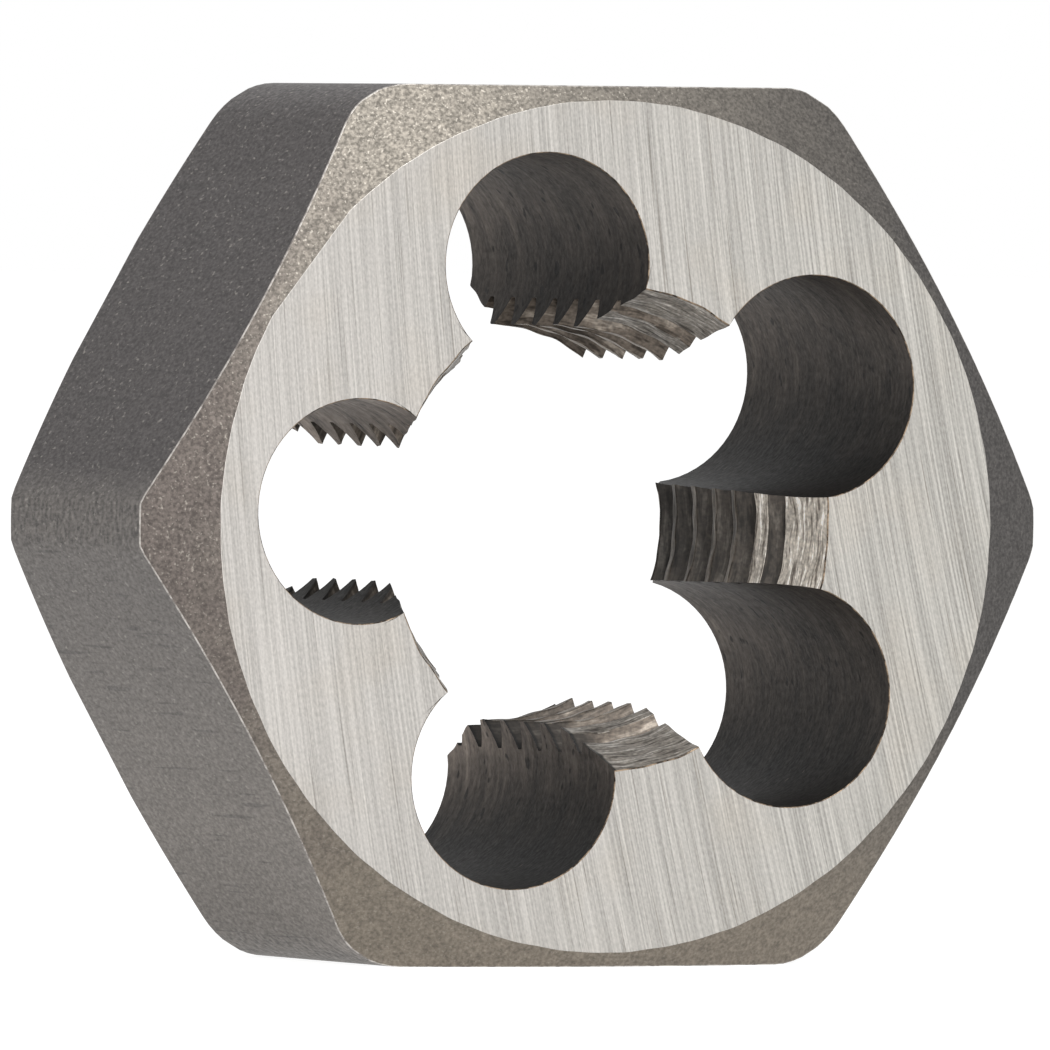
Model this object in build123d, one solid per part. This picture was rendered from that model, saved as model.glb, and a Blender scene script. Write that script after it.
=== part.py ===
"""Hexagonal threading die, one solid steel piece, in millimetres.

The thread axis runs along Y and the front face looks towards -Y. The die stands on one of its
hexagon flats, with +Z up, and the origin is the middle of the thread.
"""

import math
import os

from build123d import *

# Hexagonal blank, 1 in across flats and 7/16 in thick.
across_flats = 25.4
thickness = 11.1125
sides = 6
# The bar's corners are rounded, and then turned down. The relief is measured along the radius,
# from the sharp corner.
corner_rounding = 2.0
corner_relief = 0.373

# Conical chamfers around both faces. The width runs inwards from the turned corners.
front_chamfer_width = 2.02
back_chamfer_width = 1.49
chamfer_angle = 30.5

# Parallel pipe thread of 1/4 in with 19 threads per inch, right-handed.
thread_diameter = 13.157
thread_pitch = 1.337
thread_angle = 55.0
# Flats left at the bottom of the groove and on the tooth crests, as shares of the pitch.
root_flat_share = 0.167
crest_flat_share = 0.167
# Where the groove crosses the front face, counted as the flutes are.
thread_start_angle = 85.0

# Lead-in cones at both ends of the thread, wider than the thread at the face.
front_lead_widening = 0.34
back_lead_widening = 0.27
front_lead_half_angle = 21.0
back_lead_half_angle = 27.0

# Round flutes that run right through and form the cutting edges. Their angle is counted from the
# right-hand corner of the hexagon, anticlockwise as seen from the front.
flute_count = 5
first_flute_angle = 32.4
# Metal left between a flute and the circle that touches the hexagon's flats.
flute_wall = 1.74
# How far a flute reaches inside the tooth crests.
flute_bite = 1.22

# Length by which every cutting tool overruns the blank.
overrun = 1.0

half_side_angle = math.radians(180 / sides)
flat_radius = across_flats / 2
corner_radius = flat_radius / math.cos(half_side_angle) - corner_relief
major_radius = thread_diameter / 2
flank_slope = math.tan(math.radians(thread_angle / 2))
sharp_thread_depth = thread_pitch / (2 * flank_slope)
thread_depth = sharp_thread_depth * (1 - root_flat_share - crest_flat_share)
crest_radius = major_radius - thread_depth
flute_outer_reach = flat_radius - flute_wall
flute_inner_reach = crest_radius - flute_bite
flute_radius = (flute_outer_reach - flute_inner_reach) / 2
flute_circle_radius = (flute_outer_reach + flute_inner_reach) / 2
front = -thickness / 2
back = thickness / 2

# A sketch on this plane has its first axis along the radius and its second along the thread axis.
axial_section = Plane(origin=(0, 0, 0), x_dir=(1, 0, 0), z_dir=(0, 0, 1))
# The die as seen from the front, at the middle of the thread and at the front face.
seen_from_front = Plane(origin=(0, 0, 0), x_dir=(1, 0, 0), z_dir=(0, -1, 0))
front_plane = seen_from_front.offset(-front)


def along_axis(points):
    """Turns a closed outline of (radius, depth) points once around the thread axis."""
    outline = axial_section * make_face(Polyline(*points, close=True))
    return revolve(outline, axis=Axis.Y)


def turned_envelope():
    """The turned corners with the conical chamfer of each face."""
    slope = math.tan(math.radians(chamfer_angle))
    front_circle = corner_radius - front_chamfer_width
    back_circle = corner_radius - back_chamfer_width
    return along_axis(
        [
            (0, front),
            (front_circle, front),
            (corner_radius, front + front_chamfer_width * slope),
            (corner_radius, back - back_chamfer_width * slope),
            (back_circle, back),
            (0, back),
        ]
    )


def hexagonal_blank():
    """The round-cornered hexagon between its two faces, with a flat at the top and the bottom."""
    hexagon = RegularPolygon(flat_radius, sides, major_radius=False)
    rounded = fillet(hexagon.vertices(), corner_rounding)
    bar = extrude(front_plane * rounded, amount=-thickness)
    return bar & turned_envelope()


def bore_with_leads():
    """The bore at the tooth crests, opening into a cone at each face."""
    front_spread = math.tan(math.radians(front_lead_half_angle))
    back_spread = math.tan(math.radians(back_lead_half_angle))
    front_mouth = major_radius + front_lead_widening
    back_mouth = major_radius + back_lead_widening
    front_depth = (front_mouth - crest_radius) / front_spread
    back_depth = (back_mouth - crest_radius) / back_spread
    return along_axis(
        [
            (0, front - overrun),
            (front_mouth + overrun * front_spread, front - overrun),
            (crest_radius, front + front_depth),
            (crest_radius, back - back_depth),
            (back_mouth + overrun * back_spread, back + overrun),
            (0, back + overrun),
        ]
    )


def thread_groove():
    """The V groove of the thread, a helix that a right-hand screw follows."""
    half_root = thread_pitch * root_flat_share / 2
    half_mouth = thread_pitch * (1 - crest_flat_share) / 2
    tail = thread_depth + overrun
    # One spare turn at each end carries the groove clear of the faces.
    length = thickness + 2 * thread_pitch
    path = Helix(pitch=thread_pitch, height=length, radius=major_radius)
    profile_plane = Plane(origin=path @ 0, x_dir=(1, 0, 0), z_dir=(0, 1, 0))
    profile = profile_plane * make_face(
        Polyline(
            (0, -half_root),
            (0, half_root),
            (-thread_depth, half_mouth),
            (-tail, half_mouth),
            (-tail, -half_mouth),
            (-thread_depth, -half_mouth),
            close=True,
        )
    )
    groove = sweep(profile, path=path, is_frenet=True)
    turned = Rot(Z=-thread_start_angle) * Pos(0, 0, -length / 2) * groove
    return Rot(X=-90) * turned


def flutes():
    """The round flutes, evenly spaced around the thread."""
    length = thickness + 2 * overrun
    drill = Cylinder(flute_radius, length)
    spots = PolarLocations(flute_circle_radius, flute_count, first_flute_angle)
    return [seen_from_front * spot * drill for spot in spots]


def threading_die():
    """The whole die."""
    threaded = hexagonal_blank() - bore_with_leads() - thread_groove()
    return threaded - flutes()


if __name__ == "__main__":
    os.makedirs("parts", exist_ok=True)
    export_step(threading_die(), "parts/die_body.step")
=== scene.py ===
"""Looks of a hexagonal threading die that stands on one of its flats.

The die is one closed surface. Its section is a loop that runs down the bore, out over the back
face, along the outside and in over the front face, and the loop is carried once round the thread
axis. Sizes are in millimetres until a mesh is written, and angles count anticlockwise from the
right-hand corner of the hexagon, as seen from the front.
"""

import logging
import math
from dataclasses import dataclass
from enum import Enum

import bpy
import numpy as np
from mathutils import Matrix, Vector


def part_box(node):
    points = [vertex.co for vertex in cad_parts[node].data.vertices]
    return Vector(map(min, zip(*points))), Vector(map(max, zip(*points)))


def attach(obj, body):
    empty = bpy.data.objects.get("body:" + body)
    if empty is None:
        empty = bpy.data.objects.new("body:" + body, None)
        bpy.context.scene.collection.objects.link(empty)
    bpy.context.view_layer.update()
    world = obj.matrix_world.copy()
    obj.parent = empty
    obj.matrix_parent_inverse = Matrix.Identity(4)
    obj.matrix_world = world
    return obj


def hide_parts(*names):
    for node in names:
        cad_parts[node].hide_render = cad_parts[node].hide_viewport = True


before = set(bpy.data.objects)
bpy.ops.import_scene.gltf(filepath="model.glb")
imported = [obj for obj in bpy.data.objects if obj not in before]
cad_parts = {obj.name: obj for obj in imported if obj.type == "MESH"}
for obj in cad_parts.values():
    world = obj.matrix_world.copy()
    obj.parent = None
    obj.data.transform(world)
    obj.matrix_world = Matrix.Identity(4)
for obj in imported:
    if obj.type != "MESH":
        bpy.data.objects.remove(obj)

MM = 0.001
LOG = logging.getLogger("threading_die")
TRACK = "track"
ASIDE = "aside"

FULL_TURN = 2 * math.pi
SIDE_ANGLE = FULL_TURN / 6
HALF_SIDE = SIDE_ANGLE / 2
# How many rows a rounded edge has.
EDGE_ROWS = 3
# How far apart two radii have to be to count as different, along a profile and on a face.
PROFILE_TOLERANCE = 1e-6
FACE_TOLERANCE = 1e-4
# Where most of the values of a noise lie.
USUAL_NOISE = (0.3, 0.7)

Socket = bpy.types.NodeSocket
Triple = tuple[float, float, float]


class Area(Enum):
    """The finishes that a maker would tell apart on the die, in the order of its materials."""

    GROUND = 0
    CHAMFER = 1
    FLAT = 2
    FLUTE = 3
    FLANK = 4
    CREST = 5
    CONE = 6
    RIM = 7
    LIP = 8


def unit(vectors: np.ndarray) -> np.ndarray:
    """Vectors scaled to length one, along the last axis."""
    return vectors / np.linalg.norm(vectors, axis=-1, keepdims=True)


def around(radius: np.ndarray, angle: np.ndarray, depth: np.ndarray) -> np.ndarray:
    """Points from radius, angle and depth: x is r cos(angle), z is r sin(angle), y is the depth."""
    radius, angle, depth = np.broadcast_arrays(radius, angle, depth)
    return np.stack([radius * np.cos(angle), depth, radius * np.sin(angle)], axis=-1)


def from_nearest(angle: np.ndarray, step: float) -> np.ndarray:
    """Angle counted from the nearest whole multiple of step."""
    return (angle + step / 2) % step - step / 2


def eased_edge(edge: np.ndarray, before: np.ndarray, after: np.ndarray, width: np.ndarray) -> np.ndarray:
    """Three rows that round off an edge, as a quadratic arc with the edge as its control point.

    Args:
        edge: points on the sharp edge, one for each column.
        before: unit vectors from the edge back along the surface before it.
        after: unit vectors from the edge on along the surface after it.
        width: how far the rounding reaches along both surfaces.

    Returns:
        Points of shape (3, columns, 3), in the order of the section.
    """
    reach = np.broadcast_to(width, edge.shape[:-1])[..., None]
    middle = edge + (before + after) * reach / 4
    return np.stack([edge + before * reach, middle, edge + after * reach])


def between(start: np.ndarray, stop: np.ndarray, count: int) -> np.ndarray:
    """Rows at even steps between two rows, without the two."""
    share = np.linspace(0, 1, count + 2)[1:-1, None, None]
    return start + (stop - start) * share


def subdivided(marks: np.ndarray, count: int) -> np.ndarray:
    """Adds evenly spaced values between marks until there are count, the widest gaps first."""
    gaps = np.diff(marks)
    spare = count - len(marks)
    share = gaps / gaps.sum() * spare
    extra = np.floor(share).astype(int)
    order = np.argsort(extra - share)
    extra[order[: spare - extra.sum()]] += 1
    pieces = [a + (b - a) * np.arange(n + 1) / (n + 1) for a, b, n in zip(marks[:-1], marks[1:], extra)]
    return np.concatenate([*pieces, marks[-1:]])


def at_corners(grid: np.ndarray) -> np.ndarray:
    """The values of a closed grid at the four corners of each of its faces, as a new third axis."""
    after = np.roll(grid, -1, axis=0)
    return np.stack([grid, np.roll(grid, -1, axis=1), np.roll(after, -1, axis=1), after], axis=2)


@dataclass
class DieBody:
    """The die as one closed grid, with its finishes told apart by face."""

    flat_radius: float
    corner_radius: float
    half_thickness: float
    # One for each corner, from the right-hand one on. No two neighbours are rounded alike.
    corner_roundings: tuple[float, ...] = (2.0, 2.2, 2.3, 1.8, 2.3, 2.35)
    front_chamfer_width: float = 2.02
    back_chamfer_width: float = 1.49
    chamfer_angle: float = 30.5
    thread_radius: float = 6.5785
    pitch: float = 1.337
    thread_angle: float = 55.0
    root_flat_share: float = 0.167
    crest_flat_share: float = 0.167
    thread_start_angle: float = 131.0
    # How far the thread, the lead-in cone and each flute lie from their ideal places, to the right
    # and upwards.
    thread_shift: tuple[float, float] = (0.131, -0.010)
    lead_shift: tuple[float, float] = (0.077, -0.045)
    flute_shifts: tuple[tuple[float, float], ...] = (
        (-0.005, -0.090),
        (-0.095, 0.042),
        (-0.147, -0.069),
        (-0.092, -0.022),
        (-0.112, 0.057),
    )
    # How far each flute's back end lies from its front end, to the right and upwards.
    flute_leans: tuple[tuple[float, float], ...] = (
        (0.0, 0.28),
        (-0.42, -0.1),
        (0.0, 0.0),
        (-0.12, 0.05),
        (0.1, -0.1),
    )
    front_lead_widening: float = 0.35
    back_lead_widening: float = 0.27
    front_lead_half_angle: float = 21.0
    back_lead_half_angle: float = 27.0
    flute_count: int = 5
    first_flute_angle: float = 32.4
    flute_wall: float = 1.74
    flute_bite: float = 1.22
    overcut_angle: float = 141.6
    overcut_depth: float = 0.155
    edge_width: float = 0.03
    ring_edge_width: float = 0.012
    rim_width: float = 0.035
    tooth_edge_width: float = 0.03
    least_chamfer: float = 0.06
    # The back edges are rounded over no more than this share of the chamfer beside them.
    most_ease: float = 0.3
    wear: float = 0.04
    ring_ripple: float = 0.006
    # How far a flute's columns fan out on the outside, to each side of its middle, in degrees.
    fan_angle: float = 27.0
    # Rows leave the helix over this length before a face, and a flute's columns follow the teeth
    # over this share of its half.
    straight_end: float = 0.6
    bend_share: float = 0.2
    # How far the streaks of one flute or land are moved from those of the next.
    streaks_apart: float = 10.0
    profile_points: int = 4001
    # A land's ends and its depths depend on each other, so they are worked out this many times.
    land_rounds: int = 4
    flute_columns: int = 46
    land_columns: int = 22
    bore_rows: int = 200
    face_rows: int = 5
    chamfer_rows: int = 4
    wall_rows: int = 6

    def __post_init__(self) -> None:
        """Works out the radii that follow from the driving sizes, and where the flutes lie."""
        flank = math.tan(math.radians(self.thread_angle / 2))
        depth = self.pitch / (2 * flank) * (1 - self.root_flat_share - self.crest_flat_share)
        self.flank_rise = 1 / flank
        self.crest_radius = self.thread_radius - depth
        outer_reach = self.flat_radius - self.flute_wall
        inner_reach = self.crest_radius - self.flute_bite
        self.flute_radius = (outer_reach - inner_reach) / 2
        self.flute_circle_radius = (outer_reach + inner_reach) / 2
        self.front = -self.half_thickness
        self.back = self.half_thickness
        self.flute_step = FULL_TURN / self.flute_count
        self.first_flute = math.radians(self.first_flute_angle)
        ideal = self.first_flute + np.arange(self.flute_count) * self.flute_step
        self.flute_fronts = around(self.flute_circle_radius, ideal, 0.0)
        self.flute_fronts[:, [0, 2]] += np.array(self.flute_shifts)
        self.flute_slants = np.zeros_like(self.flute_fronts)
        self.flute_slants[:, [0, 2]] = np.array(self.flute_leans) / (2 * self.half_thickness)
        self.thread_place = np.array([self.thread_shift[0], 0.0, self.thread_shift[1]])

    def flute_axis(self, index: np.ndarray, depth: np.ndarray) -> np.ndarray:
        """Where a flute's axis is at each depth. It runs straight, but a little aslant.

        Args:
            index: which flute.
            depth: the depths.

        Returns:
            Points on the axis, with their depth left at 0.
        """
        way = np.asarray(depth - self.front)[..., None]
        which = index % self.flute_count
        return self.flute_fronts[which] + self.flute_slants[which] * way

    def flute_polar(self, index: np.ndarray, depth: np.ndarray) -> tuple[np.ndarray, np.ndarray]:
        """A flute's distance and angle from the thread axis at each depth."""
        x, _depth, z = np.moveaxis(self.flute_axis(index, depth) - self.thread_place, -1, 0)
        ideal = self.first_flute + index * self.flute_step
        return np.hypot(x, z), ideal + from_nearest(np.arctan2(z, x) - ideal, FULL_TURN)

    def bore_radius(self, depth: np.ndarray, angle: np.ndarray) -> np.ndarray:
        """The bore before threading: the widest of the crest cylinder and the two lead-in cones.

        The front cone lies a little beside the thread, which adds the part of that way that points
        outwards to its radius.
        """
        front_spread = math.tan(math.radians(self.front_lead_half_angle))
        back_spread = math.tan(math.radians(self.back_lead_half_angle))
        aside = np.array(self.lead_shift) - self.thread_shift
        outwards = aside[0] * np.cos(angle) + aside[1] * np.sin(angle)
        front_mouth = self.thread_radius + self.front_lead_widening + outwards
        front_cone = front_mouth - (depth - self.front) * front_spread
        back_mouth = self.thread_radius + self.back_lead_widening
        back_cone = back_mouth - (self.back - depth) * back_spread
        return np.maximum(self.crest_radius, np.maximum(front_cone, back_cone))

    def from_root(self, depth: np.ndarray, angle: np.ndarray) -> np.ndarray:
        """Distance along the axis from the middle of the nearest root, from -pitch/2 to pitch/2."""
        turns = (angle - math.radians(self.thread_start_angle)) / FULL_TURN
        first_root = self.front - self.pitch
        return from_nearest(depth - first_root + self.pitch * turns, self.pitch)

    def groove_radius(self, depth: np.ndarray, angle: np.ndarray) -> np.ndarray:
        """The V groove: its root flat lies at the thread radius and both flanks fall away from it."""
        away = self.from_root(depth, angle)
        fall = np.maximum(0, np.abs(away) - self.pitch * self.root_flat_share / 2)
        return self.thread_radius - fall * self.flank_rise

    def worn_away(self, depth: np.ndarray, angle: np.ndarray) -> np.ndarray:
        """How far use has worn the crests back: three slow waves that cross each other."""
        wave = np.sin(2.3 * depth + 11 * angle) + np.sin(4.1 * depth - 23 * angle + 1.3)
        wave = wave + np.sin(7.7 * depth + 37 * angle + 2.1)
        return self.wear * (1 + wave / 3)

    def land_radius(self, depth: np.ndarray, angle: np.ndarray) -> np.ndarray:
        """The finished land: the wider of the worn bore and the groove."""
        worn_bore = self.bore_radius(depth, angle) + self.worn_away(depth, angle)
        return np.maximum(worn_bore, self.groove_radius(depth, angle))

    def flute_corner(
        self, index: int, radius: np.ndarray, depth: np.ndarray
    ) -> tuple[np.ndarray, np.ndarray, np.ndarray]:
        """Where a flute meets a circle about the thread axis, by the law of cosines.

        Args:
            index: which flute.
            radius: the circle's radius.
            depth: the circle's depth.

        Returns:
            The flute's angle about the thread axis, the corner's angle from there, and the
            corner's angle about the flute's own axis from the outward direction.
        """
        far, place = self.flute_polar(index, depth)
        turn = np.arccos((radius**2 + far**2 - self.flute_radius**2) / (2 * radius * far))
        about = np.arctan2(radius * np.sin(turn), radius * np.cos(turn) - far)
        return place, turn, about

    def land_profile(self, angle: float) -> np.ndarray:
        """Depths of the rows down one land, with each corner of the thread between two close rows.

        Both the bore and the groove are straight between their own corners, so the land's corners
        are those and the points where the two cross.

        Args:
            angle: the angle of the land's middle.

        Returns:
            bore_rows depths from the front edge to the back edge.
        """
        fine = np.linspace(self.front, self.back, self.profile_points)
        root = self.pitch * self.root_flat_share / 2
        away = self.from_root(fine, angle)
        bore = self.bore_radius(fine, angle)
        crossing = self.groove_radius(fine, angle) - bore - self.worn_away(fine, angle)
        kinks = [np.abs(away) - root, crossing, bore - self.crest_radius - PROFILE_TOLERANCE]
        corners = [fine[:-1][np.sign(k[:-1]) != np.sign(k[1:])] for k in kinks]
        corners = np.unique(np.round(np.concatenate(corners), 3))
        ends = self.edge_width
        near = np.concatenate([corners - self.tooth_edge_width, corners, corners + self.tooth_edge_width])
        marks = np.unique(np.concatenate([near, [self.front + ends, self.back - ends]]))
        marks = marks[(marks >= self.front + ends) & (marks <= self.back - ends)]
        keep = np.concatenate([[True], np.diff(marks) > self.tooth_edge_width / 3])
        return subdivided(marks[keep], self.bore_rows)

    def land_grid(self, index: int) -> tuple[np.ndarray, np.ndarray, np.ndarray]:
        """Radius, angle and depth over one land, from the edge of its flute to the next flute.

        Rows follow the helix across the land, and straighten out towards both faces.

        Args:
            index: which land, counted as the flutes are.

        Returns:
            Three arrays of shape (bore_rows, land_columns + 1).
        """
        beside = [self.flute_polar(flute, 0.0)[1] for flute in (index, index + 1)]
        middle = float(np.mean(beside))
        rows = self.land_profile(middle)[:, None]
        share = np.linspace(0, 1, self.land_columns + 1)[None, :]
        hold = np.clip(np.minimum(rows - self.front, self.back - rows) / self.straight_end, 0, 1)
        depth = np.broadcast_to(rows, (self.bore_rows, share.size))
        radius = self.land_radius(depth, middle)
        for _ in range(self.land_rounds):
            low, low_turn, _about = self.flute_corner(index, radius[:, :1], depth[:, :1])
            high, high_turn, _about = self.flute_corner(index + 1, radius[:, -1:], depth[:, -1:])
            start, stop = low + low_turn, high - high_turn
            angle = start + (stop - start) * share
            depth = rows - hold * self.pitch * (angle - middle) / FULL_TURN
            radius = self.land_radius(depth, angle)
        return radius, angle, depth

    def bore_wall(self) -> np.ndarray:
        """The wall of the bore and its flutes, from the front edge to the back edge.

        A flute is a circle about its own axis. Its rows join the ends of the rows on the two lands
        beside it, and its columns stay put except close to a land, where they follow the teeth.

        Returns:
            Points of shape (bore_rows, columns, 3).
        """
        lands = [self.land_grid(index) for index in range(self.flute_count)]
        share = np.linspace(-1, 1, self.flute_columns + 1)[None, 1:-1]
        columns = []
        for index, land in enumerate(lands):
            face_span = self.face_span(index)
            low_radius, _low_angle, low_depth = (part[:, -1:] for part in lands[index - 1])
            high_radius, _high_angle, high_depth = (part[:, :1] for part in land)
            low_about = self.flute_corner(index, low_radius, low_depth)[2]
            high_about = self.flute_corner(index, high_radius, high_depth)[2]
            bend = np.clip((np.abs(share) - (1 - self.bend_share)) / self.bend_share, 0, 1)
            ends = np.where(share < 0, -(low_about - face_span), high_about - face_span)
            about = share * face_span + ends * bend
            ease = (share + 1) / 2
            depth = low_depth + (high_depth - low_depth) * ease * ease * (3 - 2 * ease)
            reach, place = self.flute_polar(index, depth)
            out = reach + self.flute_radius * np.cos(about)
            side = self.flute_radius * np.sin(about)
            radius, turn = np.hypot(out, side), np.arctan2(side, out)
            columns.append(around(radius, place + turn, depth))
            columns.append(around(*land))
        return np.concatenate(columns, axis=1) + self.thread_place

    def face_span(self, index: int) -> float:
        """Angle about a flute's axis of the corner that it makes with the mouth of the bore."""
        mouth = self.thread_radius + self.front_lead_widening
        return float(self.flute_corner(index, mouth, self.front)[2])

    def sectors(self) -> np.ndarray:
        """Which flute each strip of columns belongs to, its own or the one before its land."""
        strips = np.repeat(np.arange(self.flute_count), self.flute_columns + self.land_columns)
        # The first strip of each flute starts at the last column of the land before it.
        return np.roll(strips, -1)

    def flute_strips(self) -> np.ndarray:
        """True for the strips of columns that lie on a flute, False for those on a land."""
        strips = np.arange(self.flute_columns + self.land_columns) < self.flute_columns
        return np.roll(np.tile(strips, self.flute_count), -1)

    def roundings(self, angle: np.ndarray) -> tuple[np.ndarray, np.ndarray]:
        """Radius of the rounding at the nearest corner, and how far from the axis its middle is."""
        corner = np.round(angle / SIDE_ANGLE).astype(int) % len(self.corner_roundings)
        radius = np.array(self.corner_roundings)[corner]
        return radius, (self.flat_radius - radius) / math.cos(HALF_SIDE)

    def rounding_span(self, angle: np.ndarray) -> tuple[np.ndarray, np.ndarray]:
        """Where the outline changes near the nearest corner, as angles about the thread axis.

        Args:
            angle: where on the outline.

        Returns:
            The angle from the corner to the end of the flat, and to the end of the turned band.
        """
        radius, reach = self.roundings(angle)
        flat_end = np.arctan2(radius / 2, reach + radius * math.cos(HALF_SIDE))
        across = (reach**2 + self.corner_radius**2 - radius**2) / (2 * reach * self.corner_radius)
        return flat_end, np.arccos(across)

    def outline_radius(self, angle: np.ndarray) -> np.ndarray:
        """The hexagon's outline: a flat, then the corner's rounding, cut off by the turned band."""
        off = np.abs(from_nearest(angle, SIDE_ANGLE))
        flat = self.flat_radius / np.cos(HALF_SIDE - off)
        radius, reach = self.roundings(angle)
        rest = np.sqrt(np.maximum(0, radius**2 - (reach * np.sin(off)) ** 2))
        rounded = reach * np.cos(off) + rest
        near = off < self.rounding_span(angle)[0]
        return np.minimum(np.where(near, rounded, flat), self.corner_radius)

    def outer_angles(self) -> np.ndarray:
        """Angles of the columns on the outside, fanned out evenly from flutes and lands.

        The nearest column is then moved on to each angle at which the outline changes, and its
        neighbours are moved with it in proportion.

        Returns:
            One angle for each column, rising by a whole turn.
        """
        fan = math.radians(self.fan_angle)
        flute = np.linspace(-fan, fan, self.flute_columns + 1)[1:-1]
        land = np.linspace(fan, self.flute_step - fan, self.land_columns + 1)
        sector = np.concatenate([flute, land])
        starts = self.first_flute + np.arange(self.flute_count) * self.flute_step
        angles = (starts[:, None] + sector).reshape(-1)
        corners = np.arange(8) * SIDE_ANGLE
        flat_end, band_end = self.rounding_span(corners)
        offsets = np.stack([-flat_end, -band_end, band_end, flat_end], axis=1)
        edges = np.sort((corners[:, None] + offsets).reshape(-1))
        edges = edges[(edges > angles[0]) & (edges < angles[-1])]
        nearest = np.abs(angles[None, :] - edges[:, None]).argmin(axis=1)
        shift = np.interp(np.arange(angles.size), nearest, edges - angles[nearest])
        return angles + shift

    def ring_radius(self, angle: np.ndarray) -> np.ndarray:
        """The circle between the front face and its chamfer, with one place cut straight across."""
        circle = self.corner_radius - self.front_chamfer_width
        waves = np.sin(19 * angle) + np.sin(41 * angle + 1) + np.sin(67 * angle + 2)
        ripple = self.ring_ripple * waves
        off = from_nearest(angle - math.radians(self.overcut_angle), FULL_TURN)
        chord = (circle - self.overcut_depth) / np.maximum(np.cos(off), 0.5)
        return np.minimum(circle + ripple, chord)

    def outside(self) -> np.ndarray:
        """The outside, from the back face's edge over both chamfers to the front face's edge.

        Returns:
            Points of shape (rows, columns, 3).
        """
        angle = self.outer_angles()
        outer = self.outline_radius(angle)
        slope = math.tan(math.radians(self.chamfer_angle))
        circle = self.corner_radius - self.front_chamfer_width
        back_ring = np.minimum(self.corner_radius - self.back_chamfer_width, outer - self.least_chamfer)
        front_ring = np.minimum(self.ring_radius(angle), outer - self.least_chamfer)
        back_rim = around(outer, angle, self.back - (outer - back_ring) * slope)
        front_rim = around(outer, angle, self.front + (outer - circle) * slope)
        back_edge = around(back_ring, angle, self.back)
        front_edge = around(front_ring, angle, self.front)
        inwards = -unit(around(1.0, angle, 0.0))
        down_back, down_front = unit(back_rim - back_edge), unit(front_rim - front_edge)
        along = unit(front_rim - back_rim)
        chamfer_length = np.linalg.norm(back_rim - back_edge, axis=-1)
        ease_back = np.minimum(self.edge_width, chamfer_length * self.most_ease)
        ease_front = np.full(angle.size, self.ring_edge_width)
        ease_rim = np.full(angle.size, self.rim_width)
        first = eased_edge(back_edge, inwards, down_back, ease_back)
        second = eased_edge(back_rim, -down_back, along, ease_back)
        third = eased_edge(front_rim, -along, -down_front, ease_rim)
        fourth = eased_edge(front_edge, down_front, inwards, ease_front)
        return np.concatenate(
            [
                first,
                between(first[-1], second[0], self.chamfer_rows),
                second,
                between(second[-1], third[0], self.wall_rows),
                third,
                between(third[-1], fourth[0], self.chamfer_rows),
                fourth,
            ]
        )

    def mouth_rows(self, wall_row: np.ndarray, depth: float) -> np.ndarray:
        """The rounded edge where the bore and its flutes open into a face.

        Args:
            wall_row: the wall's last row, which lies one edge width below the face.
            depth: the face's depth.

        Returns:
            Two rows: the middle of the rounding, and its end on the face.
        """
        flat = np.array([1.0, 0.0, 1.0])
        radial = unit((wall_row - self.thread_place) * flat)
        sector = self.flute_columns + self.land_columns
        axis = self.flute_axis(np.repeat(np.arange(self.flute_count), sector), wall_row[:, 1])
        from_flute = unit((wall_row - axis) * flat)
        on_flute = np.tile(np.arange(sector) < self.flute_columns - 1, self.flute_count)
        away = np.where(on_flute[:, None], from_flute, radial)
        edge = wall_row.copy()
        edge[:, 1] = depth
        spread = self.edge_width * math.tan(math.radians(self.front_lead_half_angle))
        edge[~on_flute] += radial[~on_flute] * spread
        inward = unit(wall_row - edge)
        return eased_edge(edge, inward, away, self.edge_width)[1:]

    def section_rows(self) -> tuple[np.ndarray, np.ndarray]:
        """All rows of the closed section, and the finish of the strip after each row.

        Returns:
            Points of shape (rows, columns, 3), and one Area value for each row.
        """
        wall = self.bore_wall()
        outside = self.outside()
        back_mouth = self.mouth_rows(wall[-1], self.back)
        front_mouth = self.mouth_rows(wall[0], self.front)[::-1]
        back_face = between(back_mouth[-1], outside[0], self.face_rows)
        front_face = between(outside[-1], front_mouth[0], self.face_rows)
        back_rim = EDGE_ROWS + self.chamfer_rows
        front_rim = back_rim + EDGE_ROWS + self.wall_rows
        front_edge = front_rim + EDGE_ROWS + self.chamfer_rows
        parts = [
            (wall[:-1], Area.FLUTE),
            (wall[-1:], Area.LIP),
            (back_mouth[:1], Area.LIP),
            (back_mouth[1:], Area.GROUND),
            (back_face, Area.GROUND),
            (outside[:2], Area.GROUND),
            (outside[2:back_rim], Area.CHAMFER),
            (outside[back_rim : back_rim + 2], Area.RIM),
            (outside[back_rim + 2 : front_rim], Area.FLAT),
            (outside[front_rim : front_rim + 2], Area.RIM),
            (outside[front_rim + 2 : front_edge], Area.CHAMFER),
            (outside[front_edge:], Area.GROUND),
            (front_face, Area.GROUND),
            (front_mouth, Area.LIP),
        ]
        points = np.concatenate([rows for rows, _ in parts])
        areas = np.concatenate([np.full(len(rows), area.value) for rows, area in parts])
        return points, areas

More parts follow.
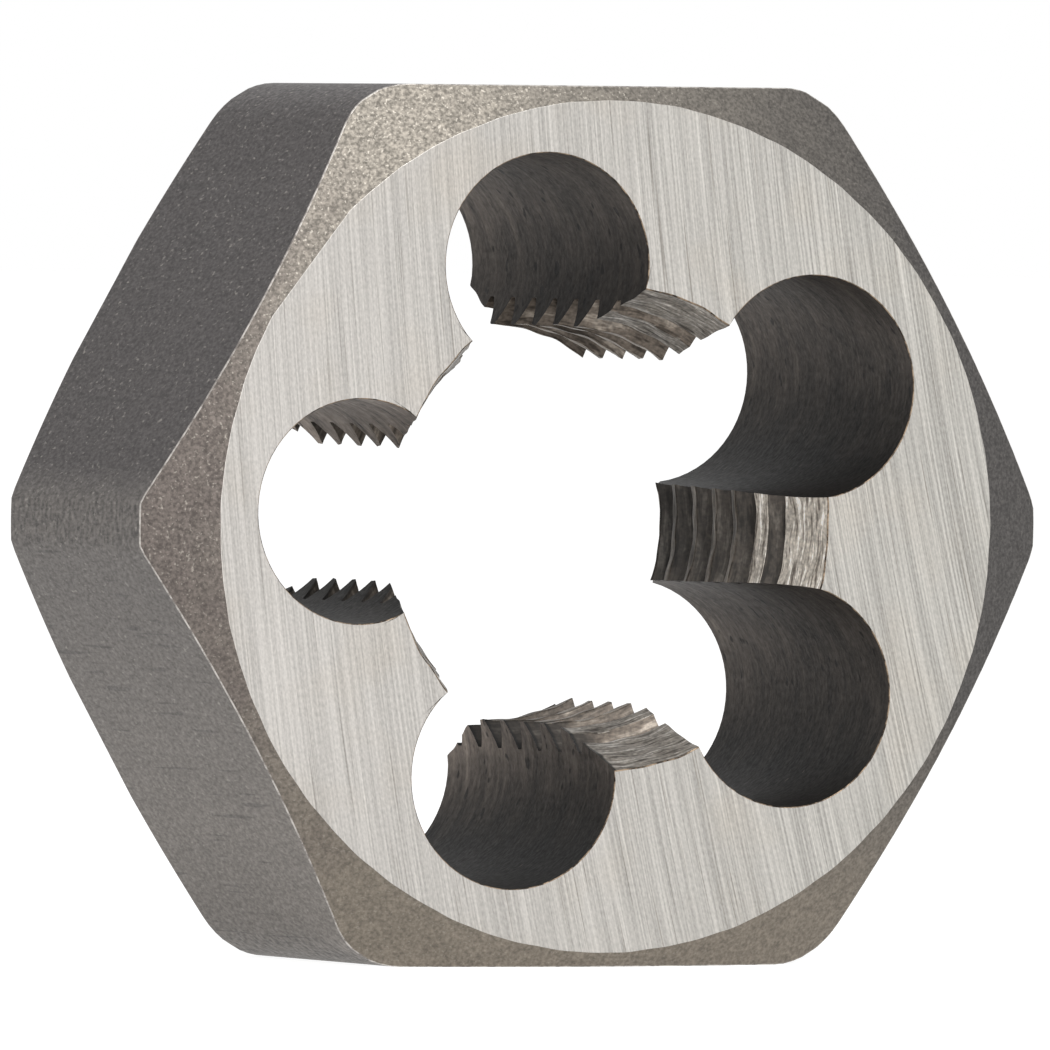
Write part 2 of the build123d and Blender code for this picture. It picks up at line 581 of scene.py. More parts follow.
    def face_areas(self, corners: np.ndarray, row_areas: np.ndarray) -> np.ndarray:
        """The finish of each face.

        Args:
            corners: the faces' corners, of shape (rows, columns, 4, 3).
            row_areas: the finish of the strip after each row.

        Returns:
            Area values of shape (rows, columns).
        """
        areas = np.repeat(row_areas[:, None], corners.shape[1], axis=1)
        middle = corners.mean(axis=2)
        x, depth, z = np.moveaxis(middle - self.thread_place, -1, 0)
        angle = np.arctan2(z, x)
        bore = self.bore_radius(depth, angle)
        on_bore = bore + self.worn_away(depth, angle) > self.groove_radius(depth, angle)
        on_cone = on_bore & (bore > self.crest_radius + FACE_TOLERANCE)
        on_land = (areas == Area.FLUTE.value) & ~self.flute_strips()[None, :]
        areas[on_land] = Area.FLANK.value
        areas[on_land & on_bore] = Area.CREST.value
        areas[on_land & on_cone] = Area.CONE.value
        return areas

    def flute_centres(self, corners: np.ndarray) -> np.ndarray:
        """For each corner of a face, the point beside it on the axis of its flute."""
        return self.flute_axis(self.sectors()[None, :, None], corners[..., 1])

    def corner_normals(self, corners: np.ndarray, areas: np.ndarray) -> np.ndarray:
        """Normals at the corners of each face.

        On a flute they point to its axis. Elsewhere a vertex takes the mean of the faces around
        it, weighted by size, so that a narrow rounded edge doesn't bend the light on a broad face.

        Args:
            corners: the faces' corners, of shape (rows, columns, 4, 3).
            areas: the finish of each face.

        Returns:
            Unit vectors of the same shape as corners.
        """
        diagonals = corners[:, :, 2] - corners[:, :, 0], corners[:, :, 3] - corners[:, :, 1]
        weighted = np.cross(*diagonals)
        in_bore = np.isin(areas, [Area.FLANK.value, Area.CREST.value, Area.CONE.value])
        on_flute = areas == Area.FLUTE.value
        result = np.zeros_like(corners)
        for group in (in_bore, ~in_bore & ~on_flute):
            part = np.where(group[..., None], weighted, 0.0)
            total = part + np.roll(part, 1, axis=0)
            total = total + np.roll(total, 1, axis=1)
            result = np.where(group[..., None, None], at_corners(total), result)
        to_axis = self.flute_centres(corners) - corners
        to_axis[..., 1] = 0.0
        result = np.where(on_flute[..., None, None], to_axis, result)
        return unit(result)

    def track(self, corners: np.ndarray, areas: np.ndarray) -> np.ndarray:
        """Distances along the way that each surface was cut, for the streaks in its finish.

        The first number runs round the surface's own axis and the second along the thread axis, or
        across the helix on a land. The third tells one flute or land from the next.

        Args:
            corners: the faces' corners, of shape (rows, columns, 4, 3).
            areas: the finish of each face.

        Returns:
            Numbers in millimetres, of the same shape as corners.
        """
        sector = self.sectors()[None, :, None]
        middle = self.first_flute + sector * self.flute_step
        off = corners - self.flute_centres(corners)
        about = np.arctan2(off[..., 2], off[..., 0]) - middle
        angle = np.arctan2(corners[..., 2], corners[..., 0]) - middle
        about, angle = (from_nearest(value, FULL_TURN) for value in (about, angle))
        depth = corners[..., 1]
        on_flute = (areas == Area.FLUTE.value)[..., None]
        on_land = np.isin(areas, [Area.FLANK.value, Area.CREST.value, Area.CONE.value])[..., None]
        along = np.where(on_flute, about * self.flute_radius, angle * self.thread_radius)
        along = np.where(on_flute | on_land, along, (angle + middle) * self.corner_radius)
        across = np.where(on_land, depth + self.pitch * angle / FULL_TURN, depth)
        which = np.where(on_flute | on_land, sector * self.streaks_apart, 0.0)
        return np.stack(np.broadcast_arrays(along, across, which), axis=-1)

    def aside(self, corners: np.ndarray) -> np.ndarray:
        """How far each corner of a face lies from a line that its finish needs.

        On a flute this is the height above the flute's axis. On a land it is the way round from
        the land's first edge, where the flute before it ends.

        Args:
            corners: the faces' corners, of shape (rows, columns, 4, 3).

        Returns:
            Millimetres, of shape (rows, columns, 4).
        """
        height = corners[..., 2] - self.flute_centres(corners)[..., 2]
        x, depth, z = np.moveaxis(corners - self.thread_place, -1, 0)
        radius = np.hypot(x, z)
        far, flute = self.flute_polar(self.sectors()[None, :, None], depth)
        cosine = (radius**2 + far**2 - self.flute_radius**2) / (2 * radius * far)
        turned = from_nearest(np.arctan2(z, x) - flute, FULL_TURN)
        way = (turned - np.arccos(np.clip(cosine, -1, 1))) * radius
        return np.where(self.flute_strips()[None, :, None], height, way)

    def build(self) -> bpy.types.Object:
        """The die as a mesh object: a grid that closes on itself along rows and columns.

        Returns:
            The object, at the origin, with its place in its mesh.
        """
        points, row_areas = self.section_rows()
        rows, columns = points.shape[:2]
        corners = at_corners(points)
        areas = self.face_areas(corners, row_areas)
        numbers = np.arange(rows * columns).reshape(rows, columns)
        quads = at_corners(numbers).reshape(-1, 4)
        mesh = bpy.data.meshes.new("die_body")
        mesh.from_pydata((points.reshape(-1, 3) * MM).tolist(), [], quads.tolist())
        mesh.polygons.foreach_set("material_index", areas.reshape(-1).astype(np.int32))
        mesh.polygons.foreach_set("use_smooth", np.ones(len(quads), bool))
        track = mesh.attributes.new(TRACK, "FLOAT_VECTOR", "CORNER")
        track.data.foreach_set("vector", self.track(corners, areas).astype(np.float32).reshape(-1))
        aside = mesh.attributes.new(ASIDE, "FLOAT", "CORNER")
        aside.data.foreach_set("value", self.aside(corners).astype(np.float32).reshape(-1))
        mesh.update()
        mesh.normals_split_custom_set(self.corner_normals(corners, areas).reshape(-1, 3).tolist())
        piece = bpy.data.objects.new("die_body_finished", mesh)
        bpy.context.scene.collection.objects.link(piece)
        return piece


def tone(red: float, green: float, blue: float) -> Triple:
    """A colour as shaders take it, from levels of 0 to 255 as a screen shows them."""
    levels = [value / 255 for value in (red, green, blue)]
    return tuple(v / 12.92 if v <= 0.04045 else ((v + 0.055) / 1.055) ** 2.4 for v in levels)


class Recipe:
    """One material's nodes, joined by short calls. Lengths are millimetres on the die."""

    def __init__(self, name: str, metallic: float, specular: float = 0.5) -> None:
        """Starts the material.

        Args:
            name: the material's name.
            metallic: how metallic it is, from 0 to 1.
            specular: how strongly the part that isn't metal reflects.
        """
        self.material = bpy.data.materials.new(name)
        self.material.use_nodes = True
        self.nodes = self.material.node_tree.nodes
        self.links = self.material.node_tree.links
        self.shader = self.nodes["Principled BSDF"]
        self.shader.inputs["Metallic"].default_value = metallic
        self.shader.inputs["Specular IOR Level"].default_value = specular
        coordinates = self.nodes.new("ShaderNodeTexCoord")
        self.place = self.scaled(coordinates.outputs["Object"], (1 / MM, 1 / MM, 1 / MM))
        self.track = self.attribute(TRACK).outputs["Vector"]
        self.aside = self.attribute(ASIDE).outputs["Fac"]

    def attribute(self, name: str) -> bpy.types.Node:
        """A node that reads a value stored in the mesh."""
        node = self.nodes.new("ShaderNodeAttribute")
        node.attribute_name = name
        return node

    def feed(self, socket: Socket, value: object) -> None:
        """Links a socket to another one, or sets it to a plain value."""
        if isinstance(value, Socket):
            self.links.new(value, socket)
        else:
            socket.default_value = value

    def math(self, operation: str, *values: object) -> Socket:
        """The result of one arithmetic operation on numbers."""
        node = self.nodes.new("ShaderNodeMath")
        node.operation = operation
        for socket, value in zip(node.inputs, values):
            self.feed(socket, value)
        return node.outputs[0]

    def times(self, first: object, second: object) -> Socket:
        """The product of two numbers."""
        return self.math("MULTIPLY", first, second)

    def scaled(self, vector: Socket, factors: Triple) -> Socket:
        """A vector with each of its numbers multiplied by a factor."""
        node = self.nodes.new("ShaderNodeVectorMath")
        node.operation = "MULTIPLY"
        self.feed(node.inputs[0], vector)
        node.inputs[1].default_value = factors
        return node.outputs[0]

    def axes(self, vector: Socket) -> list[Socket]:
        """The three numbers of a vector."""
        node = self.nodes.new("ShaderNodeSeparateXYZ")
        self.feed(node.inputs[0], vector)
        return list(node.outputs)

    def joined(self, *values: object) -> Socket:
        """A vector of three numbers."""
        node = self.nodes.new("ShaderNodeCombineXYZ")
        for socket, value in zip(node.inputs, values):
            self.feed(socket, value)
        return node.outputs[0]

    def noise(self, vector: Socket, scale: float, detail: float = 2.0, rough: float = 0.5) -> Socket:
        """Smooth noise from 0 to 1 with a middle of 0.5.

        Args:
            vector: where it is read.
            scale: how many humps lie on one unit of the vector.
            detail: how many finer layers are added.
            rough: how strong the finer layers are.

        Returns:
            The noise's socket.
        """
        node = self.nodes.new("ShaderNodeTexNoise")
        self.feed(node.inputs["Vector"], vector)
        node.inputs["Scale"].default_value = scale
        node.inputs["Detail"].default_value = detail
        node.inputs["Roughness"].default_value = rough
        return node.outputs["Fac"]

    def ramp(
        self, value: object, low: float, high: float, at_low: float = 0.0, at_high: float = 1.0
    ) -> Socket:
        """Carries low to high over to at_low to at_high in a straight line, and holds the ends."""
        node = self.nodes.new("ShaderNodeMapRange")
        for socket, number in zip(node.inputs, (value, low, high, at_low, at_high)):
            self.feed(socket, number)
        return node.outputs[0]

    def swing(self, noise: Socket, at_low: float, at_high: float) -> Socket:
        """Carries the usual values of a noise over to at_low to at_high."""
        return self.ramp(noise, *USUAL_NOISE, at_low, at_high)

    def mixed(self, share: object, first: object, second: object) -> Socket:
        """A colour between two others: the first at share 0 and the second at share 1."""
        node = self.nodes.new("ShaderNodeMix")
        node.data_type = "RGBA"
        sockets = [s for s in node.inputs if s.enabled]
        for socket, value in zip(sockets, (share, first, second)):
            self.feed(socket, (*value, 1.0) if isinstance(value, tuple) else value)
        return next(s for s in node.outputs if s.enabled)

    def brightened(self, colour: Socket, factor: Socket) -> Socket:
        """A colour multiplied by a number."""
        node = self.nodes.new("ShaderNodeVectorMath")
        node.operation = "SCALE"
        self.feed(node.inputs[0], colour)
        self.feed(node.inputs["Scale"], factor)
        return node.outputs[0]

    def finish(self, colour: object, roughness: object, height: object, relief: float) -> bpy.types.Material:
        """Joins colour, roughness and relief to the shader.

        Args:
            colour: the base colour.
            roughness: how dull the surface is.
            height: the relief's height from 0 to 1, or None for no relief.
            relief: how high a step from 0 to 1 stands, in millimetres.

        Returns:
            The finished material.
        """
        self.feed(self.shader.inputs["Base Color"], colour)
        self.feed(self.shader.inputs["Roughness"], roughness)
        if height is not None:
            bump = self.nodes.new("ShaderNodeBump")
            bump.inputs["Distance"].default_value = relief * MM
            self.feed(bump.inputs["Height"], height)
            self.feed(self.shader.inputs["Normal"], bump.outputs[0])
        return self.material


@dataclass(frozen=True)
class GroundFace:
    """Pale steel with the fine, slightly bent lines of a grinding wheel, painted lighter on the left and
    darker on the right.
    """

    # left and right are painted light and shade: the face is lighter on the left, where the light falls, and
    # darker on the right.
    left: Triple = tone(189, 185, 180)
    right: Triple = tone(177, 174, 168)
    dark: Triple = tone(132, 127, 120)
    stain: Triple = tone(184, 174, 160)
    lean: float = 0.166
    lean_along_x: float = 0.0052
    lean_along_z: float = 0.0050

    def material(self) -> bpy.types.Material:
        """The finish as a material. The lines run down and a little to the right.

        The lean grows to the right and downwards, so the place across the lines is
        x + lean z + lean_along_x x z - lean_along_z z z / 2. The finer a line is, the longer it
        runs beside its width.
        """
        made = Recipe("ground_face", metallic=0.6)
        x, y, z = made.axes(made.place)
        first = made.math("MULTIPLY_ADD", z, self.lean, x)
        second = made.math("MULTIPLY_ADD", made.times(x, z), self.lean_along_x, first)
        across = made.math("MULTIPLY_ADD", made.times(z, z), -self.lean_along_z / 2, second)
        depth = made.times(y, 3.0)

        def lines(along: float) -> Socket:
            """The place on the face, shortened along the lines."""
            return made.joined(across, depth, made.times(z, along))

        broad = made.noise(lines(0.02), 4.0, detail=1.0, rough=0.6)
        fine = made.noise(lines(0.01), 20.0, detail=0.0)
        hair = made.noise(lines(0.012), 14.0, detail=1.0, rough=0.7)
        grain = made.noise(lines(0.5), 15.0, detail=1.0, rough=0.6)
        cloud = made.noise(made.place, 0.35, detail=2.0)
        # The lines are faint on the left and grow clearer to the right.
        clear = made.ramp(x, -8.0, 8.0, 0.22, 0.38)
        lined = made.times(made.ramp(fine, 0.25, 0.75, -0.62, 0.62), clear)
        lit = made.math("ADD", made.swing(broad, 0.98, 1.02), lined)
        lit = made.math("ADD", lit, made.swing(grain, -0.12, 0.12))
        lit = made.math("MULTIPLY_ADD", made.ramp(hair, 0.66, 0.76, 0.0, 0.7), clear, lit)
        # Painted light: the face is lighter to the left and darker to the right.
        base = made.mixed(made.ramp(x, -10.0, 10.0), self.left, self.right)
        base = made.mixed(made.ramp(cloud, 0.5, 0.75, 0.0, 0.3), base, self.stain)
        faded = made.times(made.ramp(hair, 0.35, 0.27), made.ramp(clear, 0.2, 0.4, 0.45, 0.85))
        base = made.mixed(faded, base, self.dark)
        lit = made.times(lit, made.ramp(z, -11.0, -5.0, 0.965, 1.0))
        base = made.brightened(base, lit)
        rough = made.swing(fine, 0.46, 0.34)
        return made.finish(base, rough, fine, 0.004)


@dataclass(frozen=True)
class BlastedChamfer:
    """Blasted steel with a fine grain and painted glints, painted lighter at the top, browner on the left and
    darker on the right.
    """

    # The tones are painted light and shade on one finish: lighter at the top, darker and browner on the left,
    # darkest on the right.
    upper: Triple = tone(125, 119, 110)
    lower: Triple = tone(122, 114, 103)
    left: Triple = tone(101, 93, 88)
    right: Triple = tone(76, 73, 71)
    # bright is the colour of the painted glints.
    bright: Triple = tone(205, 198, 186)
    pit: Triple = tone(50, 44, 40)

    def material(self) -> bpy.types.Material:
        """The finish as a material."""
        made = Recipe("blasted_chamfer", metallic=0.5)
        x, _y, z = made.axes(made.place)
        grain = made.noise(made.place, 10.0, detail=1.0, rough=0.6)
        coarse = made.noise(made.place, 3.5, detail=1.0, rough=0.5)
        speck = made.noise(made.place, 11.0, detail=1.0, rough=0.5)
        cloud = made.noise(made.place, 0.8, detail=2.0)
        uneven = made.math("MULTIPLY_ADD", cloud, 4.0, x)
        # Painted light and shade: lighter at the top, darker on the left and on the right.
        base = made.mixed(made.ramp(z, 0.0, -10.0), self.upper, self.lower)
        base = made.mixed(made.ramp(uneven, -6.0, -11.0), base, self.left)
        painted_shade_right = made.times(made.ramp(uneven, -2.0, 13.0), made.ramp(z, -11.0, -5.0))
        base = made.mixed(painted_shade_right, base, self.right)
        rough = made.times(made.swing(grain, -1.0, 1.0), made.ramp(z, -10.0, 0.0, 0.22, 0.32))
        lit = made.math("ADD", rough, made.swing(coarse, 0.9, 1.1))
        base = made.brightened(base, lit)
        # Painted glints: bright specks, most at the top and fewest on the right.
        painted_glints = made.times(made.ramp(speck, 0.63, 0.73), made.ramp(z, -8.0, 8.0, 0.15, 0.5))
        painted_glints = made.times(painted_glints, made.ramp(x, 0.0, 4.0, 1.0, 0.2))
        base = made.mixed(painted_glints, base, self.bright)
        dents = made.noise(made.place, 2.6, detail=2.0, rough=0.8)
        base = made.mixed(made.ramp(dents, 0.27, 0.23, 0.0, 0.6), base, self.pit)
        return made.finish(base, made.ramp(grain, 0.35, 0.65, 0.6, 0.48), grain, 0.006)


@dataclass(frozen=True)
class MillFlat:
    """Dark rolled steel with bright specks and faint scratches, turned down at the corners.

    The way from a corner to the middle of a flat is measured round the die, in millimetres.
    """

    # upper is painted shade on the upper flats; lower is partly the flat's own tone and partly painted light
    # from the floor below.
    upper: Triple = tone(64, 59, 58)
    middle: Triple = tone(98, 93, 89)
    lower: Triple = tone(119, 113, 107)
    bright: Triple = tone(160, 154, 147)
    dark: Triple = tone(48, 45, 43)
    corner_to_middle: float = 7.483

    def material(self) -> bpy.types.Material:
        """The finish as a material.

        The scratches run along the thread axis, and the marks of the turned band run round it.
        """
        made = Recipe("mill_flat", metallic=0.4)
        _x, _y, z = made.axes(made.place)
        along, _across, _which = made.axes(made.track)
        cloud = made.noise(made.place, 1.2, detail=2.0)
        grain = made.noise(made.scaled(made.place, (1.0, 0.5, 1.0)), 10.0, detail=2.0, rough=0.6)
        speck = made.noise(made.scaled(made.place, (1.0, 0.5, 1.0)), 9.0, detail=1.0, rough=0.4)
        scratch = made.noise(made.scaled(made.place, (1.0, 0.05, 1.0)), 5.0, detail=1.0, rough=0.6)
        marks = made.noise(made.scaled(made.track, (0.5, 0.8, 1.0)), 6.0, detail=1.0, rough=0.5)
        off = made.math("MULTIPLY_ADD", cloud, 0.5, made.math("PINGPONG", along, self.corner_to_middle))
        band = made.ramp(off, 0.8, 1.2, 1.0, 0.0)
        height = made.math("MULTIPLY_ADD", cloud, 1.0, z)
        # Lighter downwards, partly painted light from the floor, and painted shade on the upper flats.
        base = made.mixed(made.ramp(z, -2.0, -9.0), self.middle, self.lower)
        base = made.mixed(made.ramp(height, 1.0, 2.2), base, self.upper)
        rough = made.times(made.swing(grain, -1.0, 1.0), made.ramp(z, -2.0, 2.0, 0.26, 0.38))
        lit = made.math("ADD", rough, made.swing(cloud, 0.95, 1.05))
        lit = made.math("MULTIPLY_ADD", band, made.swing(marks, -0.35, 0.35), lit)
        base = made.brightened(base, lit)
        base = made.mixed(made.ramp(speck, 0.65, 0.8, 0.0, 0.6), base, self.bright)
        base = made.mixed(made.ramp(scratch, 0.34, 0.28, 0.0, 0.4), base, self.dark)
        return made.finish(base, made.swing(grain, 0.6, 0.45), grain, 0.008)


@dataclass(frozen=True)
class FluteWall:
    """Dark, brownish drilled steel with faint rings and pits, with painted shade in the lower half of each
    flute and on the floor of the bottom one.
    """

    colour: Triple = tone(56, 51, 47)
    streak: Triple = tone(88, 82, 75)
    pit: Triple = tone(18, 16, 14)

    def material(self) -> bpy.types.Material:
        """The finish as a material, with painted light towards the back and on the left-hand ceilings."""
        made = Recipe("flute_wall", metallic=0.4, specular=0.12)
        x, y, z = made.axes(made.place)
        rings = made.noise(made.scaled(made.track, (0.1, 1.0, 1.0)), 3.2, detail=2.0, rough=0.6)
        grain = made.noise(made.scaled(made.track, (0.7, 1.0, 1.0)), 7.0, detail=2.0, rough=0.7)
        cloud = made.noise(made.scaled(made.track, (0.6, 1.0, 1.0)), 1.1, detail=3.0, rough=0.65)
        pits = made.noise(made.scaled(made.track, (0.8, 1.3, 1.0)), 2.2, detail=1.0)
        chips = made.noise(made.scaled(made.track, (0.7, 1.5, 1.0)), 3.5, detail=1.0)
        base = made.mixed(made.ramp(rings, 0.5, 0.7, 0.0, 0.28), self.colour, self.streak)
        base = made.mixed(made.ramp(rings, 0.46, 0.34, 0.0, 0.28), base, self.pit)
        lit = made.math("ADD", made.swing(grain, 0.8, 1.2), made.swing(cloud, -0.42, 0.42))
        left = made.ramp(x, 2.0, -4.0)
        # Painted shade and light: darker below the flute's axis and lighter above it.
        painted_shade_and_light_by_height = made.ramp(made.math("MULTIPLY_ADD", cloud, 1.0, made.aside), -1.7, 2.2, 0.2, 1.9)
        # Painted light: lighter towards the back, on the ceilings of the lower left-hand flutes, and towards
        # the back of the bottom flute.
        painted_back_light = made.times(made.ramp(y, 0.0, 5.0), made.math("MULTIPLY_ADD", left, 0.9, 0.4))
        lower = made.times(left, made.ramp(z, 4.4, 3.7))
        painted_ceiling_light = made.times(lower, made.ramp(made.aside, -0.8, 1.8, 0.0, 2.3))
        bottom = made.times(made.ramp(z, -3.0, -5.0), made.ramp(x, 2.5, 0.5))
        painted_back_light_below = made.times(bottom, made.ramp(y, -2.0, 4.0, 0.0, 0.6))
        painted_light_factor = made.math("ADD", made.math("ADD", painted_back_light_below, 1.0), made.math("ADD", painted_back_light, painted_ceiling_light))
        lit = made.times(lit, made.times(painted_shade_and_light_by_height, painted_light_factor))
        # Painted shade on the floor of the bottom flute, and painted light on its wall from the axis up.
        painted_floor_shade = made.ramp(made.aside, -2.2, 0.6, -0.5, 0.6)
        lit = made.times(lit, made.math("MULTIPLY_ADD", bottom, painted_floor_shade, 1.0))
        base = made.brightened(base, lit)
        base = made.mixed(made.ramp(chips, 0.74, 0.8, 0.0, 0.6), base, self.streak)
        base = made.mixed(made.ramp(pits, 0.34, 0.28, 0.0, 0.8), base, self.pit)
        return made.finish(base, made.swing(grain, 0.64, 0.5), grain, 0.006)


@dataclass(frozen=True)
class CutSteel:
    """Steel that a tool has cut around the bore, with streaks that follow the helix.

    Its brightness on the right-hand land, and near the first edge of the land at the bottom, is a
    share of that elsewhere. A thin, ragged and nearly black burr follows that edge.
    """

    name: str
    colour: Triple
    streak: Triple
    dark: Triple
    on_right: float = 1.0
    at_start: float = 1.0
    metallic: float = 0.45
    relief: float = 0.01
    fineness: float = 5.0

    def material(self) -> bpy.types.Material:
        """The finish as a material."""
        made = Recipe(self.name, metallic=self.metallic)
        x, y, z = made.axes(made.place)
        streaks = made.noise(made.scaled(made.track, (0.1, 1.0, 1.0)), self.fineness, detail=3.0, rough=0.75)
        grain = made.noise(made.place, 9.0, detail=1.0)
        cloud = made.noise(made.place, 1.4, detail=2.0)
        base = made.mixed(made.ramp(streaks, 0.54, 0.64), self.colour, self.streak)
        base = made.mixed(made.ramp(streaks, 0.48, 0.38), base, self.dark)
        lit = made.math("ADD", made.swing(cloud, 0.85, 1.15), made.swing(grain, -0.28, 0.28))
        lit = made.times(lit, made.ramp(x, 4.5, 6.0, 1.0, self.on_right))
        top = made.ramp(z, 3.0, 4.0)
        lit = made.times(lit, made.math("MAXIMUM", top, made.ramp(y, -5.0, 2.5, 1.2, 0.6)))
        lit = made.times(lit, made.ramp(z, -2.0, -3.5, 1.0, 0.82))
        elsewhere = made.math("MAXIMUM", made.ramp(x, 3.0, 4.5), made.ramp(z, -3.0, 0.0))
        unchanged = made.math("MAXIMUM", elsewhere, made.ramp(made.aside, 0.4, 1.0))
        lit = made.times(lit, made.ramp(unchanged, 0.0, 1.0, self.at_start, 1.0))
        ragged = made.math("MULTIPLY_ADD", cloud, -0.2, made.aside)
        burr = made.math("MAXIMUM", elsewhere, made.ramp(ragged, -0.04, 0.02, 0.12, 1.0))
        lit = made.times(lit, burr)
        base = made.brightened(base, lit)
        return made.finish(base, made.swing(streaks, 0.58, 0.4), streaks, self.relief)


@dataclass(frozen=True)
class EdgeWearAndHighlight:
    """An edge whose tone patches between dull and bright: rubbed bright by handling, and on the rims also a
    painted highlight.
    """

    name: str
    bright: Triple
    dull: Triple
    metallic: float = 0.6

    def material(self) -> bpy.types.Material:
        """The finish as a material."""
        made = Recipe(self.name, metallic=self.metallic)
        patches = made.noise(made.place, 3.2, detail=3.0, rough=0.7)
        base = made.mixed(made.ramp(patches, 0.4, 0.6), self.dull, self.bright)
        return made.finish(base, 0.42, None, 0.0)


FLANK = CutSteel(
    "thread_flank", tone(108, 98, 88), tone(156, 146, 134), tone(68, 60, 52), on_right=0.26, at_start=0.25
)
CREST = CutSteel(
    "thread_crest", tone(122, 111, 98), tone(164, 154, 141), tone(74, 66, 57), on_right=0.45, at_start=0.8
)
CONE = CutSteel(
    "lead_in_cone", tone(138, 132, 124), tone(200, 195, 188), tone(76, 70, 64), on_right=2.0, fineness=7.0
)

FINISHES = {
    Area.GROUND: GroundFace(),
    Area.CHAMFER: BlastedChamfer(),
    Area.FLAT: MillFlat(),
    Area.FLUTE: FluteWall(),
    Area.FLANK: FLANK,
    Area.CREST: CREST,
    Area.CONE: CONE,
    # The rims are partly rubbed bright and partly a painted highlight along the edge.
    Area.RIM: EdgeWearAndHighlight("rubbed_rim_and_highlight", tone(198, 193, 187), tone(126, 120, 115)),
    Area.LIP: EdgeWearAndHighlight("mouth_edge", tone(150, 131, 110), tone(44, 35, 28)),
}


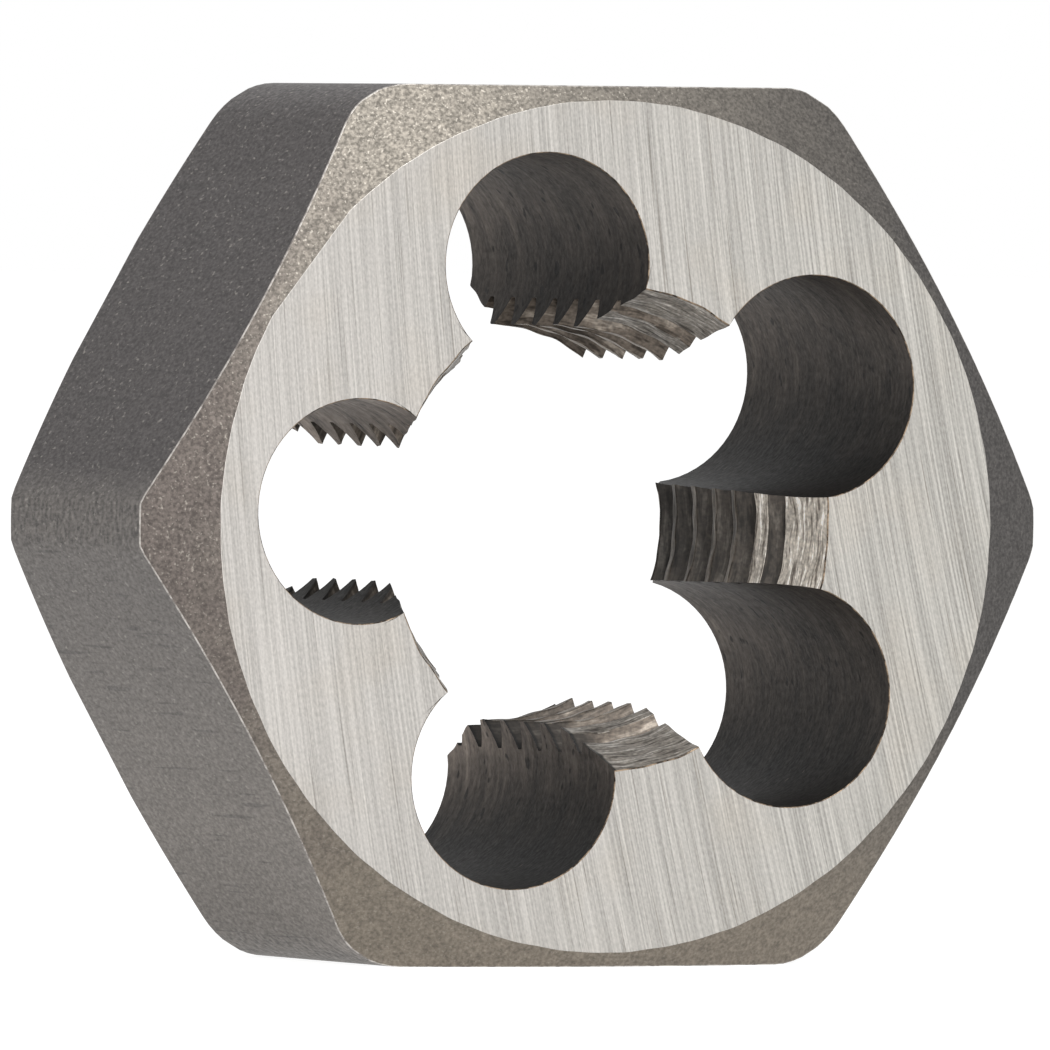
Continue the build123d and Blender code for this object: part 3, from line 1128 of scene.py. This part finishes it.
@dataclass
class Studio:
    """Camera, lamps, white surroundings and floor."""

    azimuth: float = -25.284
    elevation: float = 0.940
    roll: float = 0.591
    distance: float = 0.69662
    focal_pixels: float = 24000
    photo_pixels: float = 1050
    sensor: float = 36.0
    aim_side: float = 0.0000281
    aim_up: float = 0.0000593
    nearest_seen: float = 0.01
    farthest_seen: float = 20.0
    room_light: float = 0.35
    floor_size: float = 6.0
    floor_tone: float = 0.92
    floor_roughness: float = 0.9
    glow_strength: float = 1.55
    glow_share: float = 0.6
    # The name of each lamp, its place and the length of its side in metres, and its power in watts.
    lamps: tuple[tuple[str, Triple, float, float], ...] = (
        ("key", (-0.04, -0.34, 0.42), 0.30, 2.0),
        ("fill", (-0.16, -0.48, 0.06), 0.30, 0.8),
    )

    def camera(self) -> bpy.types.Object:
        """The camera, which looks at the die from its left, a little from above.

        Returns:
            The camera, set as the scene's own.
        """
        azimuth, elevation, roll = (math.radians(v) for v in (self.azimuth, self.elevation, self.roll))
        level = math.cos(elevation)
        back = Vector((math.sin(azimuth) * level, -math.cos(azimuth) * level, math.sin(elevation)))
        right = (-back).cross(Vector((0, 0, 1))).normalized()
        up = right.cross(-back)
        turned_right = right * math.cos(roll) + up * math.sin(roll)
        turned_up = up * math.cos(roll) - right * math.sin(roll)
        place = back * self.distance - turned_right * self.aim_side - turned_up * self.aim_up
        data = bpy.data.cameras.new("camera")
        data.sensor_width = self.sensor
        data.lens = self.focal_pixels / self.photo_pixels * self.sensor
        data.clip_start, data.clip_end = self.nearest_seen, self.farthest_seen
        camera = bpy.data.objects.new("camera", data)
        axes = Matrix((turned_right, turned_up, back)).transposed().to_4x4()
        camera.matrix_world = Matrix.Translation(place) @ axes
        bpy.context.scene.collection.objects.link(camera)
        bpy.context.scene.camera = camera
        return camera

    @staticmethod
    def seen_directly(nodes: bpy.types.Nodes, links: bpy.types.NodeLinks) -> Socket:
        """One for rays from the camera and for reflected or refracted rays, otherwise nought."""
        rays = nodes.new("ShaderNodeLightPath")
        seen = rays.outputs["Is Camera Ray"]
        for name in ("Is Glossy Ray", "Is Transmission Ray"):
            either = nodes.new("ShaderNodeMath")
            either.operation = "MAXIMUM"
            links.new(seen, either.inputs[0])
            links.new(rays.outputs[name], either.inputs[1])
            seen = either.outputs[0]
        return seen

    def surroundings(self) -> None:
        """A white world for camera and reflections, and a dimmer one for lighting."""
        world = bpy.data.worlds.new("surroundings")
        bpy.context.scene.world = world
        world.use_nodes = True
        nodes, links = world.node_tree.nodes, world.node_tree.links
        shader = nodes["Background"]
        shader.inputs["Color"].default_value = (1, 1, 1, 1)
        strength = nodes.new("ShaderNodeMapRange")
        links.new(self.seen_directly(nodes, links), strength.inputs[0])
        strength.inputs[3].default_value = self.room_light
        strength.inputs[4].default_value = 1.0
        links.new(strength.outputs[0], shader.inputs["Strength"])

    def floor(self, height: float) -> bpy.types.Object:
        """A pale floor that shows shadows, and glows for the camera and for reflections.

        Args:
            height: the floor's height in metres.

        Returns:
            The floor.
        """
        half = self.floor_size / 2
        mesh = bpy.data.meshes.new("floor")
        corners = [(-half, -half, height), (half, -half, height), (half, half, height), (-half, half, height)]
        mesh.from_pydata(corners, [], [(0, 1, 2, 3)])
        floor = bpy.data.objects.new("floor", mesh)
        bpy.context.scene.collection.objects.link(floor)
        made = bpy.data.materials.new("pale_floor")
        made.use_nodes = True
        nodes, links = made.node_tree.nodes, made.node_tree.links
        shader = nodes["Principled BSDF"]
        grey = (self.floor_tone, self.floor_tone, self.floor_tone, 1)
        shader.inputs["Base Color"].default_value = grey
        shader.inputs["Roughness"].default_value = self.floor_roughness
        shader.inputs["Specular IOR Level"].default_value = 0.0
        glow = nodes.new("ShaderNodeEmission")
        glow.inputs["Color"].default_value = (1, 1, 1, 1)
        glow.inputs["Strength"].default_value = self.glow_strength
        share = nodes.new("ShaderNodeMath")
        share.operation = "MULTIPLY"
        links.new(self.seen_directly(nodes, links), share.inputs[0])
        share.inputs[1].default_value = self.glow_share
        blend = nodes.new("ShaderNodeMixShader")
        links.new(share.outputs[0], blend.inputs[0])
        links.new(shader.outputs[0], blend.inputs[1])
        links.new(glow.outputs[0], blend.inputs[2])
        links.new(blend.outputs[0], nodes["Material Output"].inputs["Surface"])
        mesh.materials.append(made)
        return floor

    def lamp(self, name: str, place: Triple, size: float, watts: float) -> bpy.types.Object:
        """A square lamp that faces the die.

        Args:
            name: the lamp's name.
            place: where it stands, in metres.
            size: the length of its side, in metres.
            watts: its power.

        Returns:
            The lamp.
        """
        data = bpy.data.lights.new(name, "AREA")
        data.size = size
        data.energy = watts
        lamp = bpy.data.objects.new(name, data)
        lamp.location = place
        lamp.rotation_mode = "QUATERNION"
        lamp.rotation_quaternion = Vector(place).to_track_quat("Z", "Y")
        bpy.context.scene.collection.objects.link(lamp)
        return lamp

    def build(self, floor_height: float) -> None:
        """Sets up the whole studio."""
        self.camera()
        self.surroundings()
        self.floor(floor_height)
        for lamp in self.lamps:
            self.lamp(*lamp)


def main() -> None:
    """Builds the die, its finishes and the studio."""
    logging.basicConfig(level=logging.INFO, format="%(name)s: %(message)s")
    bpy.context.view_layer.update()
    low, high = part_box("die_body")
    size = (high - low) / MM
    body = DieBody(flat_radius=size.z / 2, corner_radius=size.x / 2, half_thickness=size.y / 2)
    piece = body.build()
    for area in Area:
        piece.data.materials.append(FINISHES[area].material())
    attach(piece, "root")
    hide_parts("die_body")
    LOG.info("%s: %d faces", piece.name, len(piece.data.polygons))
    Studio().build(low.z)
    LOG.info("studio: camera, world, floor and lamps")
    bpy.context.scene.view_settings.view_transform = "Standard"


if __name__ == "__main__":
    main()
